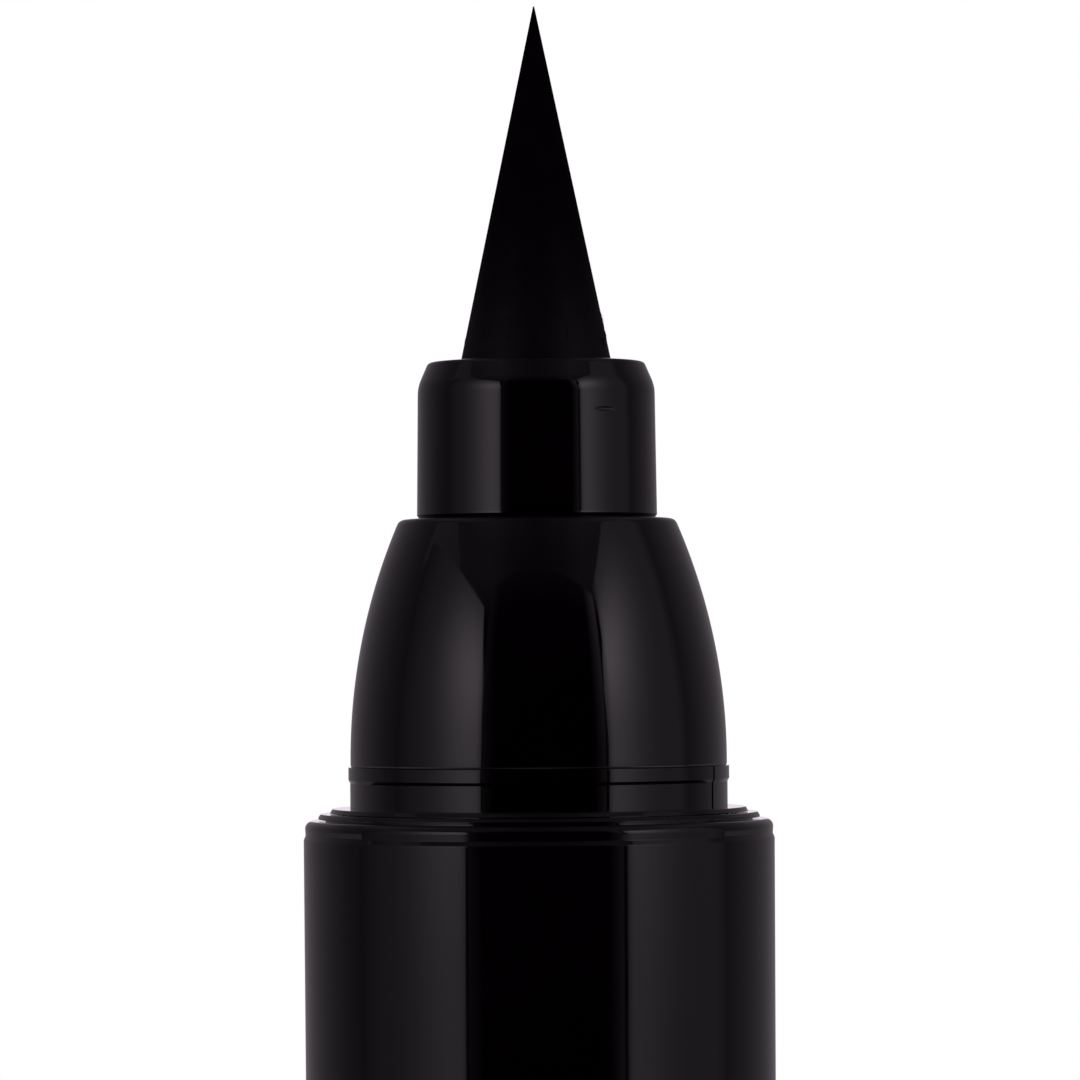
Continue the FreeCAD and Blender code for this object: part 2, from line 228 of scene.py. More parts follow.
def lean_in(base_radius, base_z, end_radius, end_z, steps):
    """Outline points on the arc that leaves an upright wall smoothly and leans in to its end."""
    rise, lean = end_z - base_z, base_radius - end_radius
    bend = (rise**2 + lean**2) / (2 * lean)
    return arc((base_radius - bend, base_z), bend, 0, math.asin(rise / bend), steps)[1:]


def fillet(before, corner, after, radius):
    """Outline points that round one corner with a radius, as far as its two sides allow."""
    here = Vector(corner[:2])
    back, ahead = Vector(before[:2]) - here, Vector(after[:2]) - here
    opening = back.angle(ahead)
    turn = math.pi - opening
    if radius == 0 or turn < straight_turn:
        return [corner[:2]]
    longest = fillet_share * min(back.length, ahead.length)
    reach = min(radius / math.tan(opening / 2), longest)
    radius = reach * math.tan(opening / 2)
    centre = here + (back.normalized() + ahead.normalized()).normalized() * radius / math.sin(opening / 2)
    first = here + back.normalized() * reach - centre
    second = here + ahead.normalized() * reach - centre
    steps = max(2, round(turn / arc_step))
    points = []
    for number in range(steps + 1):
        share = number / steps
        spoke = first * math.sin((1 - share) * turn) + second * math.sin(share * turn)
        points.append(tuple(centre + spoke / math.sin(turn)))
    return points


def finished(outline):
    """The outline with its corners rounded and a holding ring near each end of a run that meets a bend."""
    rounded = []
    count = len(outline)
    for number, corner in enumerate(outline):
        if len(corner) < 3:
            rounded.append(corner[:2])
        else:
            rounded += fillet(outline[number - 1], corner, outline[(number + 1) % count], corner[2])
    runs = []
    for here, following in zip(rounded, rounded[1:] + rounded[:1]):
        runs.append(Vector(following) - Vector(here))
    held = []
    for number, here in enumerate(rounded):
        run = runs[number]
        before, after = runs[number - 1], runs[(number + 1) % len(runs)]
        held.append(here)
        if run.length < 4 * holding_ring:
            continue
        start, inset = Vector(here), run.normalized() * holding_ring
        if before.length and before.angle(run) > holding_turn:
            held.append(tuple(start + inset))
        if after.length and run.angle(after) > holding_turn:
            held.append(tuple(start + run - inset))
    return held


def turned(name, outline):
    """A piece turned about the pen's axis: a ring of points, pulled into the outline and spun round.
    A corner of the outline is (radius, z) or (radius, z, round)."""
    section = finished(outline)
    deselect()
    bpy.ops.mesh.primitive_circle_add(vertices=len(section), radius=barrel_radius, location=(0, 0, 0))
    piece = bpy.context.object
    piece.name = name
    for vertex, (radius, z) in zip(piece.data.vertices, section):
        vertex.co = (radius, 0, z)
    bpy.ops.object.mode_set(mode="EDIT")
    bpy.ops.mesh.select_all(action="SELECT")
    bpy.ops.mesh.spin(steps=around, angle=2 * math.pi, center=(0, 0, 0), axis=(0, 0, 1))
    bpy.ops.mesh.select_all(action="SELECT")
    bpy.ops.mesh.remove_doubles(threshold=merge_distance)
    bpy.ops.mesh.normals_make_consistent(inside=False)
    bpy.ops.object.mode_set(mode="OBJECT")
    bpy.ops.object.shade_smooth_by_angle(angle=smooth_angle)
    return piece


def settle(piece):
    """Leaves the piece's object at the origin, unturned and unscaled, with its place in its mesh."""
    deselect()
    piece.select_set(True)
    bpy.context.view_layer.objects.active = piece
    bpy.ops.object.transform_apply(location=True, rotation=True, scale=True)


def carve(piece, cutter):
    """Cuts the cutter's shape out of the piece and takes the cutter away."""
    settle(cutter)
    deselect()
    piece.select_set(True)
    bpy.context.view_layer.objects.active = piece
    cut = piece.modifiers.new("cut", "BOOLEAN")
    cut.operation = "DIFFERENCE"
    cut.solver = "EXACT"
    cut.object = cutter
    bpy.ops.object.modifier_apply(modifier="cut")
    bpy.data.objects.remove(cutter)
    bpy.ops.object.shade_smooth_by_angle(angle=smooth_angle)


def facing(angle, radius, z):
    """A place at a radius and height, turned from the camera's side towards the right."""
    return Vector((radius * math.sin(angle), -radius * math.cos(angle), z))


def dress(piece, material, body, slot, *nodes):
    """Gives a piece its material and body, and hides the nodes that it replaces. The slot is not used."""
    piece.data.materials.clear()
    piece.data.materials.append(material)
    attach(piece, body)
    if nodes:
        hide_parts(*nodes)


# Material helpers
def bare_material(name):
    """A material whose node tree holds its output alone."""
    material = bpy.data.materials.new(name)
    material.use_nodes = True
    tree = material.node_tree
    tree.nodes.clear()
    return material, tree, tree.nodes.new("ShaderNodeOutputMaterial")


def shaded_material(name):
    material, tree, output = bare_material(name)
    shader = tree.nodes.new("ShaderNodeBsdfPrincipled")
    tree.links.new(shader.outputs["BSDF"], output.inputs["Surface"])
    return material, tree, shader


def scaled_place(tree, scale):
    """Object coordinates times a scale on each axis."""
    place = tree.nodes.new("ShaderNodeTexCoord")
    mapping = tree.nodes.new("ShaderNodeMapping")
    mapping.inputs["Scale"].default_value = scale
    tree.links.new(place.outputs["Object"], mapping.inputs["Vector"])
    return mapping.outputs["Vector"]


def noise(tree, vector, scale, detail=2.0, roughness=0.5):
    node = tree.nodes.new("ShaderNodeTexNoise")
    node.inputs["Scale"].default_value = scale
    node.inputs["Detail"].default_value = detail
    node.inputs["Roughness"].default_value = roughness
    tree.links.new(vector, node.inputs["Vector"])
    return node.outputs["Fac"]


def remap(tree, value, low, high, new_low, new_high):
    node = tree.nodes.new("ShaderNodeMapRange")
    node.inputs["From Min"].default_value = low
    node.inputs["From Max"].default_value = high
    node.inputs["To Min"].default_value = new_low
    node.inputs["To Max"].default_value = new_high
    tree.links.new(value, node.inputs["Value"])
    return node.outputs["Result"]


def ramp(tree, value, *stops):
    """A colour ramp with (position, grey or colour) stops."""
    node = tree.nodes.new("ShaderNodeValToRGB")
    elements = node.color_ramp.elements
    while len(elements) < len(stops):
        elements.new(1.0)
    for element, (position, colour) in zip(elements, stops):
        element.position = position
        rgb = colour if isinstance(colour, tuple) else (colour, colour, colour)
        element.color = (*rgb, 1)
    tree.links.new(value, node.inputs["Fac"])
    return node.outputs["Color"]


def scalar_math(tree, operation, first, second=None):
    node = tree.nodes.new("ShaderNodeMath")
    node.operation = operation
    tree.links.new(first, node.inputs[0])
    if isinstance(second, (int, float)):
        node.inputs[1].default_value = second
    elif second is not None:
        tree.links.new(second, node.inputs[1])
    return node.outputs[0]


def dot_product(tree, vector, direction):
    node = tree.nodes.new("ShaderNodeVectorMath")
    node.operation = "DOT_PRODUCT"
    tree.links.new(vector, node.inputs[0])
    node.inputs[1].default_value = direction
    return node.outputs["Value"]


def mix_colours(tree, share, first, second, kind="MIX"):
    """Two linked colours, mixed by a share that is linked or fixed."""
    node = tree.nodes.new("ShaderNodeMix")
    node.data_type = "RGBA"
    node.blend_type = kind
    if isinstance(share, (int, float)):
        node.inputs["Factor"].default_value = share
    else:
        tree.links.new(share, node.inputs["Factor"])
    tree.links.new(first, node.inputs["A"])
    tree.links.new(second, node.inputs["B"])
    return node.outputs["Result"]


def bump(tree, height, strength, distance, normal=None):
    """Relief from a linked height, with a strength that is linked or fixed, over a normal if there is one."""
    node = tree.nodes.new("ShaderNodeBump")
    node.inputs["Distance"].default_value = distance
    if isinstance(strength, (int, float)):
        node.inputs["Strength"].default_value = strength
    else:
        tree.links.new(strength, node.inputs["Strength"])
    tree.links.new(height, node.inputs["Height"])
    if normal is not None:
        tree.links.new(normal, node.inputs["Normal"])
    return node.outputs["Normal"]


def moulded_group():
    """Moulded plastic's own relief: a slight waviness and fine handling marks, with their gloss."""
    group = bpy.data.node_groups.new("moulded_surface", "ShaderNodeTree")
    for name, default in (("Waviness", 1.0), ("Marks", 1.0), ("Gloss roughness", 0.05)):
        socket = group.interface.new_socket(name=name, in_out="INPUT", socket_type="NodeSocketFloat")
        socket.default_value = default
    group.interface.new_socket(name="Roughness", in_out="OUTPUT", socket_type="NodeSocketFloat")
    group.interface.new_socket(name="Normal", in_out="OUTPUT", socket_type="NodeSocketVector")
    entry = group.nodes.new("NodeGroupInput")
    leave = group.nodes.new("NodeGroupOutput")

    sink = noise(group, scaled_place(group, (1, 1, 0.35)), 420, detail=1.0)
    waves = bump(group, sink, entry.outputs["Waviness"], wave_depth)

    smear = noise(group, scaled_place(group, (1, 1, 0.5)), 900, detail=4.0, roughness=0.6)
    haze = remap(group, smear, 0.35, 0.75, 0.8, 1.6)
    gloss = scalar_math(group, "MULTIPLY", entry.outputs["Gloss roughness"], haze)
    group.links.new(gloss, leave.inputs["Roughness"])

    hair = noise(group, scaled_place(group, (9000, 9000, 260)), 1.0, detail=1.0)
    lines = remap(group, hair, 0.66, 0.74, 0.0, 1.0)
    patch = remap(group, noise(group, scaled_place(group, (1, 1, 1)), 700, detail=1.0), 0.5, 0.62, 0.0, 1.0)
    patched = scalar_math(group, "MULTIPLY", lines, patch)
    marks = scalar_math(group, "MULTIPLY", patched, entry.outputs["Marks"])
    group.links.new(bump(group, marks, 0.5, mark_depth, waves), leave.inputs["Normal"])
    return group


moulded_surface = moulded_group()


def plastic(name, dark, light, waviness, marks, roughness):
    """A moulded plastic whose colour drifts slightly between two tones."""
    material, tree, shader = shaded_material(name)
    drift = noise(tree, scaled_place(tree, (1, 1, 1)), 300, detail=3.0)
    tree.links.new(ramp(tree, drift, (0.3, dark), (0.7, light)), shader.inputs["Base Color"])
    surface = tree.nodes.new("ShaderNodeGroup")
    surface.node_tree = moulded_surface
    surface.inputs["Waviness"].default_value = waviness
    surface.inputs["Marks"].default_value = marks
    surface.inputs["Gloss roughness"].default_value = roughness
    tree.links.new(surface.outputs["Roughness"], shader.inputs["Roughness"])
    tree.links.new(surface.outputs["Normal"], shader.inputs["Normal"])
    shader.inputs["IOR"].default_value = 1.5
    return material


def fibre_material():
    """Dyed bonded fibres: dead black, with a dull film of dried ink that grows towards the foot."""
    material, tree, shader = shaded_material("bonded_fibre_black")
    streaks = noise(tree, scaled_place(tree, (14000, 14000, 900)), 1.0, detail=3.0, roughness=0.6)
    tufts = noise(tree, scaled_place(tree, (2600, 2600, 2000)), 1.0, detail=3.0)
    tree.links.new(ramp(tree, tufts, (0.5, (0.0016, 0.0002, 0.0016)), (0.66, (0.0021, 0.0006, 0.0021)),
                        (0.76, (0.0034, 0.0022, 0.0034))), shader.inputs["Base Color"])
    tree.links.new(remap(tree, streaks, 0.3, 0.7, 0.7, 0.95), shader.inputs["Roughness"])
    tree.links.new(bump(tree, streaks, 0.35, fibre_relief), shader.inputs["Normal"])
    place = tree.nodes.new("ShaderNodeTexCoord")
    height = tree.nodes.new("ShaderNodeSeparateXYZ")
    tree.links.new(place.outputs["Object"], height.inputs["Vector"])
    foot = remap(tree, height.outputs["Z"], nozzle_top_z + film_height, nozzle_top_z, 0.0, 1.0)
    film = scalar_math(tree, "MULTIPLY", scalar_math(tree, "POWER", foot, 2), 0.4)
    tree.links.new(film, shader.inputs["Coat Weight"])
    shader.inputs["Coat Roughness"].default_value = 0.55
    shader.inputs["Specular IOR Level"].default_value = 0.02
    return material


def felt_material():
    material, tree, shader = shaded_material("wick_felt")
    strands = noise(tree, scaled_place(tree, (9000, 9000, 400)), 1.0, detail=3.0)
    tree.links.new(ramp(tree, strands, (0.3, 0.02), (0.7, 0.05)), shader.inputs["Base Color"])
    tree.links.new(bump(tree, strands, 0.6, felt_relief), shader.inputs["Normal"])
    shader.inputs["Roughness"].default_value = 0.9
    return material


def rubber_material():
    material, tree, shader = shaded_material("seal_rubber")
    grain = noise(tree, scaled_place(tree, (1, 1, 1)), 9000, detail=2.0)
    tree.links.new(ramp(tree, grain, (0.3, 0.012), (0.7, 0.022)), shader.inputs["Base Color"])
    tree.links.new(remap(tree, grain, 0.3, 0.7, 0.5, 0.7), shader.inputs["Roughness"])
    tree.links.new(bump(tree, grain, 0.4, rubber_relief), shader.inputs["Normal"])
    return material


def steel_material():
    material, tree, shader = shaded_material("bright_steel")
    lines = noise(tree, scaled_place(tree, (900, 900, 12000)), 1.0, detail=2.0)
    tree.links.new(ramp(tree, lines, (0.3, 0.5), (0.7, 0.62)), shader.inputs["Base Color"])
    tree.links.new(remap(tree, lines, 0.3, 0.7, 0.16, 0.28), shader.inputs["Roughness"])
    shader.inputs["Metallic"].default_value = 1.0
    return material


black_gloss = plastic("black_gloss_plastic", (0.0007, 0.0001, 0.0007), (0.001, 0.0001, 0.001),
                      0.5, 0.4, 0.045)
black_satin = plastic("black_satin_plastic", 0.01, 0.016, 0.6, 1.0, 0.32)
natural_plastic = plastic("natural_plastic", (0.70, 0.69, 0.66), (0.76, 0.75, 0.72), 0.6, 1.0, 0.3)
bonded_fibre = fibre_material()
wick_felt = felt_material()
seal_rubber = rubber_material()
bright_steel = steel_material()


# The pen's front
def make_barrel():
    step_z = mouth_z - lip_height
    lip_radius = barrel_radius - lip_step
    piece = turned("barrel_shell", [
        (barrel_bore, tail_z, edge_round),
        (barrel_radius - barrel_swell, tail_z, barrel_tail_round),
        (barrel_radius - barrel_swell, mouth_z - barrel_swell_length),
        (barrel_radius, step_z - lip_slope_foot, fine_round),
        (lip_radius - lip_flare, step_z - lip_slope_top, edge_round),
        (lip_radius, mouth_z, barrel_mouth_round),
        (barrel_bore, mouth_z, edge_round),
    ])
    dress(piece, black_gloss, "pen", "black_gloss", "barrel")


def make_tank():
    lip_z = mouth_z + rim_undercut
    seat_radius = rim_radius - rim_overhang
    piece = turned("tank_and_rim", [
        (tank_bore, tank_bottom_z, edge_round),
        (tank_radius, tank_bottom_z, edge_round),
        (tank_radius, mouth_z),
        (seat_radius, mouth_z),
        (seat_radius, lip_z),
        (rim_radius, lip_z, sharp_round),
        (rim_radius, lip_z + rim_side),
        (rim_radius - rim_lean, rim_top_z, ring_top_round),
        (tank_bore, rim_top_z, edge_round),
    ])
    dress(piece, black_gloss, "pen", "black_gloss", "ink_tank")


def make_front():
    lip_z = rim_top_z + flange_undercut
    seal_z = mouth_z - seal_drop
    groove_radius = tank_bore - 2 * seal_section_radius + seal_squeeze
    piece = turned("front_shell", [
        (chamber_radius, skirt_end_z, edge_round),
        (skirt_radius, skirt_end_z, edge_round),
        (skirt_radius, seal_z - seal_section_radius),
        (groove_radius, seal_z - seal_section_radius),
        (groove_radius, seal_z + seal_section_radius),
        (skirt_radius, seal_z + seal_section_radius),
        (skirt_radius, rim_top_z),
        (neck_radius, rim_top_z),
        (neck_radius, lip_z),
        (flange_radius, lip_z, sharp_round),
        (flange_radius - rim_lean, flange_z, ring_top_round),
        (neck_radius, flange_z, fine_round),
        (neck_radius, bead_bottom_z - bead_foot_drop),
        (bead_radius, bead_bottom_z + bead_chamfer_height),
        (bead_radius, bead_top_z - bell_step, sharp_round),
        (bell_base_radius - bead_groove_depth, bead_top_z),
        (bell_base_radius, bead_top_z + bead_groove_height),
        (bell_base_radius, bead_top_z + bell_land),
        *lean_in(bell_base_radius, bead_top_z + bell_land, bell_top_radius, bell_top_z, bell_steps)[:-1],
        (bell_top_radius, bell_top_z, bell_top_round),
        (bell_bore, bell_top_z, edge_round),
        (bell_bore, ledge_z),
        (wick_radius + wick_vent, ledge_z),
        (wick_radius + wick_vent, chamber_z),
        (chamber_radius, chamber_z),
    ])
    for turn in (0, math.pi):
        angle = parting_line_angle + turn
        height = bead_top_z - flange_z
        deselect()
        bpy.ops.mesh.primitive_cube_add(size=1, location=facing(angle, bead_radius, flange_z + height / 2),
                                        rotation=(0, 0, angle))
        line = bpy.context.object
        line.scale = (parting_line_width, 2 * (bead_proud + parting_line_depth), height)
        carve(piece, line)
    dress(piece, black_gloss, "pen", "black_gloss", "front_section")


def wall_radius(z):
    """The nozzle's drafted side at a height."""
    share = (z - bell_top_z) / (crown_z - bell_top_z)
    return nozzle_radius + (wall_top_radius - nozzle_radius) * share


def make_nozzle():
    mouth_radius = tip_radius + press_gap
    cone_z = crown_z + crown_bend * math.sin(crown_slope)
    cone_radius = wall_top_radius - crown_bend * (1 - math.cos(crown_slope))
    top_radius = cone_radius - (nozzle_top_z - cone_z) * math.tan(crown_slope)
    piece = turned("nozzle_shell", [
        (shank_bore, ledge_z),
        (shank_radius, ledge_z),
        (shank_radius, bell_top_z),
        (nozzle_radius - foot_relief, bell_top_z),
        (nozzle_radius + foot_flare, bell_top_z + foot_relief_height),
        (nozzle_radius, bell_top_z + foot_relief_height + foot_flare_height),
        *[(wall_radius(gate_z + shift), gate_z + shift) for shift in (-gate_band, 0, gate_band)],
        (wall_top_radius, crown_z),
        *lean_in(wall_top_radius, crown_z, cone_radius, cone_z, crown_steps),
        (top_radius, nozzle_top_z, crown_top_round),
        (mouth_radius, nozzle_top_z, edge_round),
        (mouth_radius, root_top_z),
        (shank_bore, root_top_z),
    ])
    for number in range(vent_count):
        angle = math.radians(90) + 2 * math.pi * number / vent_count
        height = nozzle_top_z - root_top_z + vent_radius
        deselect()
        bpy.ops.mesh.primitive_cylinder_add(vertices=32, radius=vent_radius, depth=height,
                                            location=facing(angle, mouth_radius, root_top_z + height / 2))
        carve(piece, bpy.context.object)
    deselect()
    bpy.ops.mesh.primitive_uv_sphere_add(segments=32, ring_count=16, radius=1,
                                         location=facing(gate_angle, nozzle_radius, gate_z),
                                         rotation=(0, 0, gate_angle))
    gate = bpy.context.object
    gate.scale = (gate_width / 2, gate_depth, gate_height / 2)
    carve(piece, gate)
    dress(piece, black_gloss, "pen", "black_gloss", "nozzle")


def make_tip():
    shoulder_z = tip_z - tip_point_radius
    height = shoulder_z - nozzle_top_z
    socket_z = root_bottom_z + socket_depth
    side = []
    for number in range(tip_steps + 1):
        share = number / tip_steps
        side.append((tip_side(share), nozzle_top_z + height * share))
    piece = turned("bonded_tip", [
        (0, socket_z),
        (wick_hole, socket_z),
        (wick_hole, root_bottom_z),
        (root_radius, root_bottom_z, edge_round),
        (root_radius, root_top_z, edge_round),
        (tip_radius, root_top_z),
        *side,
        *arc((0, shoulder_z), tip_point_radius, math.radians(15), math.radians(90), point_steps),
    ])
    dress(piece, bonded_fibre, "pen", "fibre_black", "fibre_tip")


def tip_side(share):
    """The tip's radius at a share of its height."""
    return tip_radius + (tip_point_radius - tip_radius) * share


def make_stray_fibre(number, angle, share, length, lift, bend):
    """One fibre that has come loose: it leaves the cone's side, thins out and bends away from it."""
    thickness = strand_radius * random.uniform(0.7, 1.2)
    z = nozzle_top_z + (tip_z - nozzle_top_z) * share
    here = facing(angle, tip_side(share) - thickness, z)
    deselect()
    bpy.ops.mesh.primitive_circle_add(vertices=strand_sides, radius=thickness, fill_type="NGON",
                                      location=here)
    strand = bpy.context.object
    strand.name = f"stray_fibre_{number}"
    bpy.ops.object.mode_set(mode="EDIT")
    for step in range(1, strand_steps + 1):
        along = step / strand_steps
        next_share = share + length * along / (tip_z - nozzle_top_z)
        next_radius = tip_side(next_share) - thickness + lift * along**strand_curl
        spot = facing(angle + bend * along**2, next_radius, z + length * along)
        bpy.ops.mesh.extrude_region_move(TRANSFORM_OT_translate={"value": tuple(spot - here)})
        bpy.ops.transform.resize(value=(strand_taper, strand_taper, 1), center_override=tuple(spot))
        here = spot
    bpy.ops.mesh.select_all(action="SELECT")
    bpy.ops.mesh.normals_make_consistent(inside=False)
    bpy.ops.object.mode_set(mode="OBJECT")
    settle(strand)
    bpy.ops.object.shade_smooth()
    return strand


def make_frayed_edge():
    """Loose fibres round the tip's foot, most of them in a tuft on its right."""
    random.seed(7)
    strands = []
    for number in range(stray_count):
        spread = tuft_spread if number < stray_count * tuft_share else math.pi
        angle = tuft_angle + random.uniform(-spread, spread)
        share = random.uniform(0.01, 0.07)
        length = random.uniform(0.2, 0.6) * mm
        lift = random.uniform(0.01, 0.045) * mm
        strands.append(make_stray_fibre(number, angle, share, length, lift, random.uniform(-0.06, 0.06)))
    deselect()
    for strand in strands:
        strand.select_set(True)
    bpy.context.view_layer.objects.active = strands[0]
    bpy.ops.object.join()
    frayed = strands[0]
    frayed.name = "frayed_fibres"
    dress(frayed, bonded_fibre, "pen", "fibre_black")


# Tail and cap
def make_tail_plug():
    flange_bottom_z = tail_z - rings_height
    bead_z = flange_bottom_z - neck_height
    plug_radius = barrel_bore - press_gap
    floor_z = spigot_end_z + plug_end_wall
    bore = plug_radius - plug_wall
    piece = turned("tail_stub", [
        (bore, floor_z),
        (bore, plug_top_z),
        (plug_radius, plug_top_z, edge_round),
        (plug_radius, tail_z),
        (rim_radius, tail_z, edge_round),
        (rim_radius, flange_bottom_z, edge_round),
        (neck_radius, flange_bottom_z, fine_round),
        (neck_radius, bead_z),
        (bead_radius, bead_z - bead_height / 2, bead_height / 4),
        (neck_radius, bead_z - bead_height),
        (neck_radius, spigot_end_z, plug_end_round),
        (0, spigot_end_z),
        (0, floor_z),
    ])
    dress(piece, black_gloss, "pen", "black_gloss", "tail_plug")


def make_cap_shell():
    bore = cap_radius - cap_wall
    piece = turned("cap_outer", [
        (0, 0),
        (cap_radius - cap_taper, 0, cap_end_round),
        (cap_radius, cap_rim_z, cap_rim_round),
        (rim_radius + rim_recess_gap, cap_rim_z, edge_round),
        (rim_radius + rim_recess_gap, sleeve_top_z),
        (bore, sleeve_top_z),
        (bore, cap_ceiling),
        (boss_radius, cap_ceiling),
        (boss_radius, cap_ceiling + boss_height, edge_round),
        (0, cap_ceiling + boss_height),
    ])
    dress(piece, black_gloss, "cap", "black_gloss", "cap_shell")


def make_cap_spring():
    """The CAD's coil, copied as a piece of its own; in the pen the inner cap presses it together towards the
    cap's end.
    """
    coil_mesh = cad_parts["cap_spring"].data.copy()
    piece = bpy.data.objects.new("inner_cap_coil_spring", coil_mesh)
    bpy.context.scene.collection.objects.link(piece)
    dress(piece, bright_steel, "cap", "steel", "cap_spring")
    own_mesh(piece)


node_materials = {
    "tank_plug": natural_plastic,
    "mixing_ball": bright_steel,
    "section_seal": seal_rubber,
    "collector": natural_plastic,
    "wick": wick_felt,
    "tip_sleeve": natural_plastic,
    "cap_sleeve": black_satin,
    "inner_cap": natural_plastic,
    "inner_cap_seal": seal_rubber,
}


def dress_cad_nodes():
    """Gives their materials to the nodes that stay as the CAD has them."""
    for name, material in node_materials.items():
        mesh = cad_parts[name].data
        if not mesh.materials:
            mesh.materials.append(material)
        for number in range(len(mesh.materials)):
            mesh.materials[number] = material


# The studio's camera, as measured from the photo
photo_pixels = 1080
photo_scale = 0.02125 * mm
horizon_row = 642
mouth_row = 818.8
axis_column_middle = 537.9
lean_angle = math.radians(0.39)
camera_distance = 126.1 * mm
eye_z = mouth_z + (mouth_row - horizon_row) * photo_scale
sensor_width = 36.0

# The studio's floor and overhead light
floor_radius = 1.2
floor_tone = 0.85
floor_fade = (0.12, 0.7)
overhead_size = 0.9
overhead_height = 1.3
overhead_energy = 14

# The studio's panels, which the gloss mirrors. tube_foot and low_light_top are heights over the eye's height.
studio_tint = (1.06, 0.945, 1.06)
panel_foot = 0.002
lamp_spread = 0.1
lamp_height = 0.058
tube_rise = 0.25
tube_top_level = 0.12
tube_foot = (-0.032, -0.006)
low_light_top = (-0.1, -0.065)
low_light_level = 0.6
low_light_start = (0.2, 0.45)
box_edge_width = 0.07
box_edge_level = 0.6
box_end_level = 0.45
flag_level = 0.002
flag_rise = (0.75, 2.0)
flag_top_height = 0.06
strip_half_width = 0.026
strip_distance = 0.25
strip_height = 0.12


def make_camera():
    """The photo's view: at the height of its horizon, tilted to its middle and leaning as the pen does."""
    data = bpy.data.cameras.new("studio_camera")
    camera = bpy.data.objects.new("studio_camera", data)
    bpy.context.scene.collection.objects.link(camera)
    bpy.context.scene.camera = camera
    focal_pixels = camera_distance / photo_scale
    data.sensor_width = sensor_width
    data.lens = sensor_width * focal_pixels / photo_pixels
    data.clip_start = 0.005
    data.clip_end = 20
    middle = photo_pixels / 2
    pitch = math.atan((horizon_row - middle) / focal_pixels)
    across = (middle - axis_column_middle) * photo_scale
    camera.location = (across, -camera_distance, eye_z)
    camera.rotation_mode = "XYZ"
    camera.rotation_euler = (math.pi / 2 + pitch, lean_angle, 0)


def tinted(level):
    """The studio's slightly violet grey at a level."""
    return tuple(level * share for share in studio_tint)


def upright_panel(name, inner, outer, inner_top, outer_top, foot=panel_foot, edge=((0, 0), (1, 0))):
    """An upright panel over a line from one floor point to another, with a top at each. Its inner edge
    runs through points given as (share of the height, share of the length)."""
    deselect()
    bpy.ops.mesh.primitive_grid_add(x_subdivisions=1, y_subdivisions=len(edge) - 1, size=1)
    panel = bpy.context.object
    panel.name = name
    start, end = Vector(inner), Vector(outer)
    for number, (height, inset) in enumerate(edge):
        near, far = panel.data.vertices[2 * number:2 * number + 2]
        near.co = (*start.lerp(end, inset), foot + (inner_top - foot) * height)
        far.co = (*end, foot + (outer_top - foot) * height)
    panel.visible_camera = False
    panel.visible_shadow = False
    return panel


def light_up(panel):
    """Gives a panel a tinted glow of its own, and gives its node tree and its level's socket back."""
    material, tree, output = bare_material(panel.name + "_glow")
    emission = tree.nodes.new("ShaderNodeEmission")
    emission.inputs["Color"].default_value = (*studio_tint, 1)
    tree.links.new(emission.outputs["Emission"], output.inputs["Surface"])
    panel.data.materials.append(material)
    return tree, emission.inputs["Strength"]


def glow_curve(tree, value, middle, spread):
    """A soft peak about a middle value, 1 at its top."""
    offset = scalar_math(tree, "ABSOLUTE", scalar_math(tree, "SUBTRACT", value, middle))
    squared = scalar_math(tree, "POWER", offset, 2)
    return scalar_math(tree, "EXPONENT", scalar_math(tree, "MULTIPLY", squared, -1 / (2 * spread**2)))


def softbox(name, inner, outer, inner_top, outer_top, edge, lamp_share, lamp_z, glow, strip, base,
            full_share):
    """A lit panel: a tube's upright strip near its inner end, brightest at the lamp's height, over an even
    base that dims at the outer end. Its lowest part is lit for views from above."""
    panel = upright_panel(name, inner, outer, inner_top, outer_top, edge=edge)
    tree, strength = light_up(panel)
    place = tree.nodes.new("ShaderNodeTexCoord").outputs["Object"]
    inner, outer = Vector(inner), Vector(outer)
    run = (outer - inner).normalized()
    up = dot_product(tree, place, (0, 0, 1))
    along = dot_product(tree, place, (*run, 0))
    start = inner.dot(run)
    length = (outer - inner).length
    fade = remap(tree, along, start + length * full_share, start + length, base, base * box_end_level)
    tube = scalar_math(tree, "MULTIPLY", remap(tree, up, eye_z, eye_z + tube_rise, strip, tube_top_level),
                       remap(tree, up, eye_z + tube_foot[0], eye_z + tube_foot[1], 0.5, 1.0))
    lamp = scalar_math(tree, "MULTIPLY", glow_curve(tree, up, lamp_z, lamp_height), glow)
    halo = scalar_math(tree, "MULTIPLY", glow_curve(tree, along, start + length * lamp_share, lamp_spread),
                       scalar_math(tree, "ADD", lamp, tube))
    soft_edge = remap(tree, along, start, start + box_edge_width * length, box_edge_level, 1.0)
    level = scalar_math(tree, "MULTIPLY", scalar_math(tree, "ADD", halo, fade), soft_edge)
    low_start, low_full = (start + share * length for share in low_light_start)
    low = scalar_math(tree, "MULTIPLY", remap(tree, up, eye_z + low_light_top[0], eye_z + low_light_top[1],
                                              low_light_level, 0.0),
                      remap(tree, along, low_start, low_full, 0.0, 1.0))
    tree.links.new(scalar_math(tree, "ADD", level, low), strength)


def card(name, left, right, left_top, right_top, foot, level):
    """A card of one level."""
    _, strength = light_up(upright_panel(name, left, right, left_top, right_top, foot))
    strength.default_value = level


